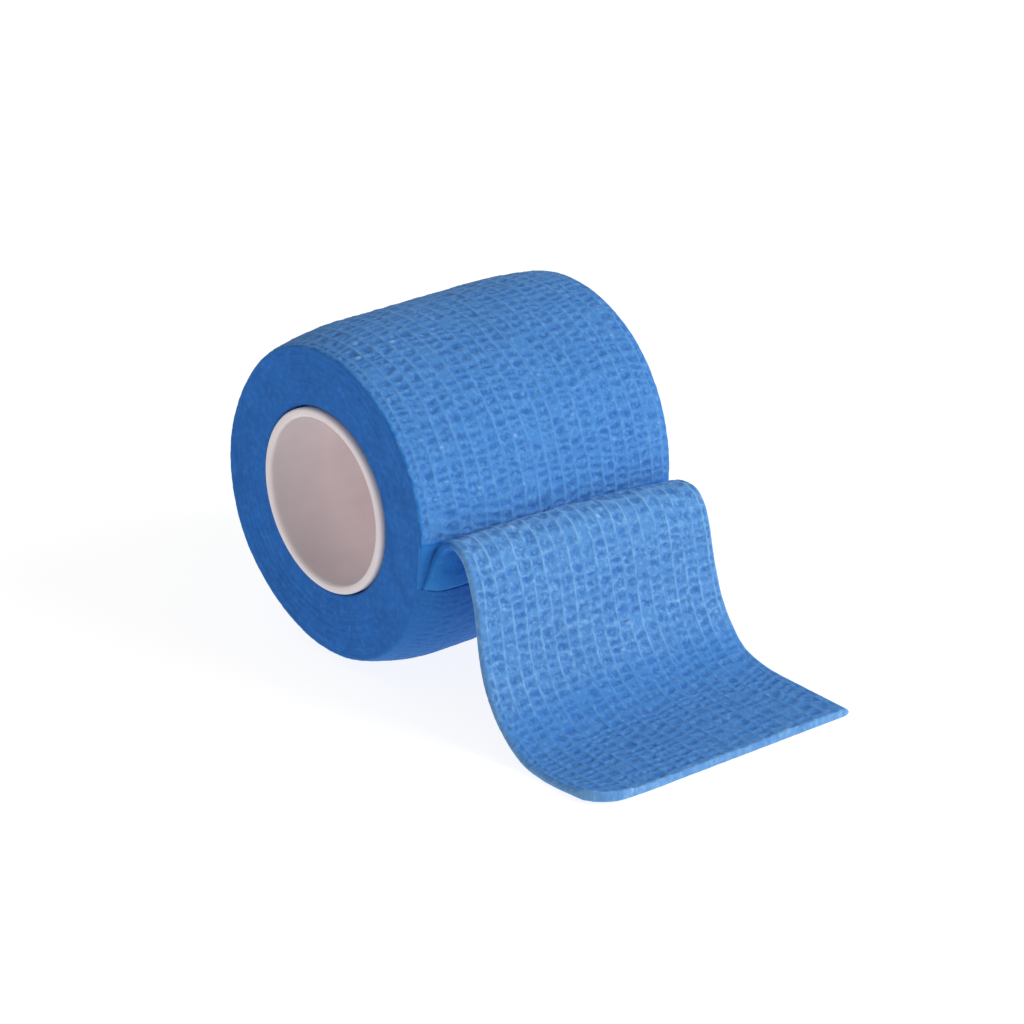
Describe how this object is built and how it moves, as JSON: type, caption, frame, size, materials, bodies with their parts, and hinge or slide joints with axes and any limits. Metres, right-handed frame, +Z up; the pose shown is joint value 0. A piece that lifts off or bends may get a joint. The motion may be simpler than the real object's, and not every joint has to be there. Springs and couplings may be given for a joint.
{
  "type": "thumb tape roll",
  "caption": "Roll of crinkled self-adhering cloth tape on a hollow core tube, its loose end folded over and laid out on the surface.",
  "frame": {"origin": "middle of the small flat spot that the roll rests on, under its axis and midway across the tape", "axes": "+Y along the roll's axis, +X the way the loose end leaves the roll, +Z up"},
  "size_m": [0.092, 0.0502, 0.0535],
  "materials": {
    "tape": "matte crinkled blue cloth with raised threads",
    "core": "satin pale cream"
  },
  "bodies": {
    "root": {"core_tube": "core", "wound_tape": "tape", "loose_end": "tape"}
  },
  "joints": []
}
